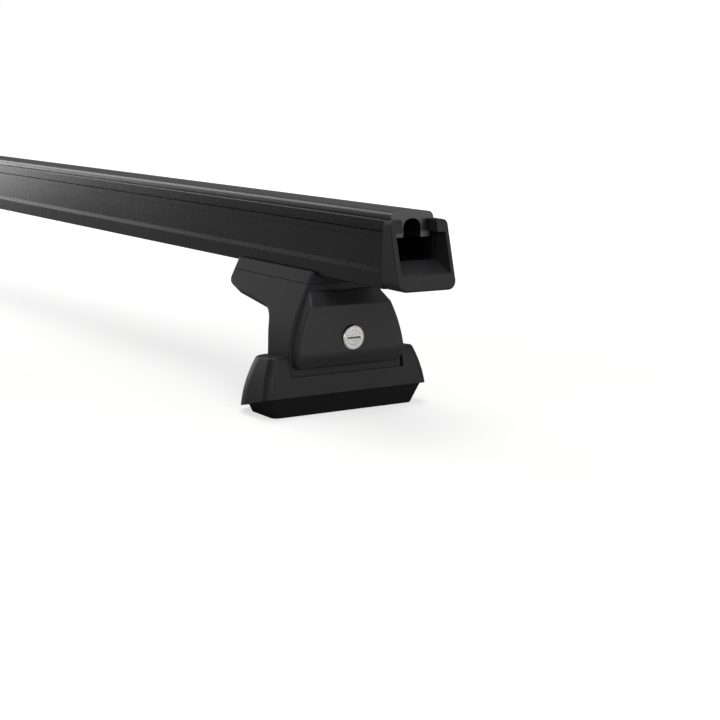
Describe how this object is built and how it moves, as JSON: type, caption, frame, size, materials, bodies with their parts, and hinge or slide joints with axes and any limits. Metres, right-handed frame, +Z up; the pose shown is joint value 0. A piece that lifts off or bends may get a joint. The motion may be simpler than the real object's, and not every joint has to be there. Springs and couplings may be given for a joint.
{
  "type": "roof rack",
  "caption": "Roof rack crossbar: black stepped bar with a rubber strip and open end caps, on sliding gooseneck legs with locking hinged covers and flared bases on rubber pads.",
  "frame": {"origin": "on the ground under the middle of the bar", "axes": "+X along the bar towards its right end, +Y across the bar, +Z up"},
  "size_m": [1.2838, 0.1166, 0.125],
  "materials": {
    "bar_metal": "black powder coat, satin",
    "strip_rubber": "extruded rubber, smooth sheen",
    "cap_plastic": "fine grain",
    "leg_plastic": "fine spark-eroded grain",
    "cradle_plastic": "fine spark-eroded grain",
    "shroud_plastic": "fine grain, soft",
    "cover_plastic": "fine grain",
    "pad_rubber": "matt moulded rubber",
    "plated_steel": "bright zinc plate",
    "lock_metal": "turned and nickel plated"
  },
  "bodies": {
    "bar": {"crossbar_extrusion": "bar_metal", "top_strip": "strip_rubber", "end_cap_right": "cap_plastic", "end_cap_left": "cap_plastic"},
    "leg_right": {"leg_post_right": "leg_plastic", "bar_cradle_right": "cradle_plastic", "base_shroud_right": "shroud_plastic", "foot_pad_right": "pad_rubber", "foot_plate_right": "plated_steel", "channel_nut_right": "plated_steel", "clamp_bolts_right": "plated_steel", "clamp_washers_right": "plated_steel"},
    "cover_right": {"front_cover_right": "cover_plastic"},
    "lock_right": {"lock_barrel_right": "lock_metal", "lock_cam_right": "plated_steel", "cam_screw_right": "plated_steel"},
    "leg_left": {"leg_post_left": "leg_plastic", "bar_cradle_left": "cradle_plastic", "base_shroud_left": "shroud_plastic", "foot_pad_left": "pad_rubber", "foot_plate_left": "plated_steel", "channel_nut_left": "plated_steel", "clamp_bolts_left": "plated_steel", "clamp_washers_left": "plated_steel"},
    "cover_left": {"front_cover_left": "cover_plastic"},
    "lock_left": {"lock_barrel_left": "lock_metal", "lock_cam_left": "plated_steel", "cam_screw_left": "plated_steel"}
  },
  "joints": [
    {"name": "leg_right_slide", "type": "slide", "parent": "bar", "child": "leg_right", "axis": [1, 0, 0], "range_m": [-0.15, 0.035]},
    {"name": "cover_right_hinge", "type": "hinge", "parent": "leg_right", "child": "cover_right", "pos_m": [0.55744, 0, 0.0731], "axis": [0, -1, 0], "range_deg": [0, 45]},
    {"name": "lock_right_turn", "type": "hinge", "parent": "cover_right", "child": "lock_right", "pos_m": [0.562, 0, 0.0455], "axis": [-1, 0, 0], "range_deg": [0, 90]},
    {"name": "leg_left_slide", "type": "slide", "parent": "bar", "child": "leg_left", "axis": [-1, 0, 0], "range_m": [-0.15, 0.035]},
    {"name": "cover_left_hinge", "type": "hinge", "parent": "leg_left", "child": "cover_left", "pos_m": [-0.55744, 0, 0.0731], "axis": [0, 1, 0], "range_deg": [0, 45]},
    {"name": "lock_left_turn", "type": "hinge", "parent": "cover_left", "child": "lock_left", "pos_m": [-0.562, 0, 0.0455], "axis": [-1, 0, 0], "range_deg": [0, 90]}
  ]
}
